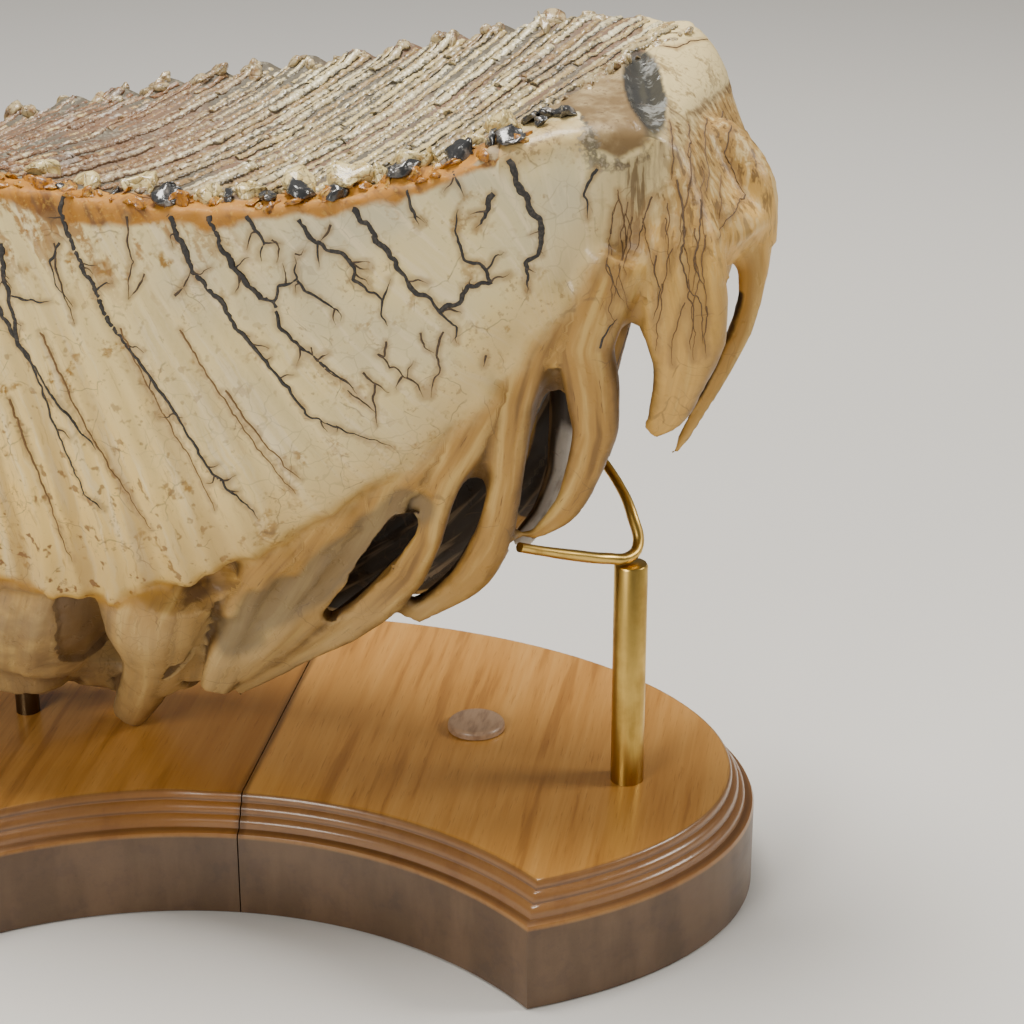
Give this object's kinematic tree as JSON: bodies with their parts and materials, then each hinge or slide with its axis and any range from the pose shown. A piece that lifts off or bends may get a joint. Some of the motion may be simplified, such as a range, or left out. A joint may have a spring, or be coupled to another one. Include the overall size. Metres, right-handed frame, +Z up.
{
  "type": "fossil mammoth molar on stand",
  "caption": "Fossil mammoth cheek tooth with ridged grinding surface and curved roots, resting on an oval wooden plinth with a hollowed front, a brass post with a forked wire and a short peg.",
  "frame": {"origin": "bottom centre of the object's bounding box, on the plinth's underside", "axes": "+Z up, +X along the plinth towards the tall brass post, +Y away from the hollowed front"},
  "size_m": [0.2365, 0.1414, 0.2072],
  "materials": {
    "tooth": "polished, stained and cracked",
    "oak": "varnished",
    "brass": "slightly tarnished satin",
    "peg_metal": "dark tarnished",
    "button": "satin"
  },
  "bodies": {
    "root": {"molar": "tooth", "plinth_board_left": "oak", "plinth_board_right": "oak", "post_right": "brass", "fork_wire": "brass", "peg_left": "peg_metal", "button_plug": "button"}
  },
  "joints": []
}
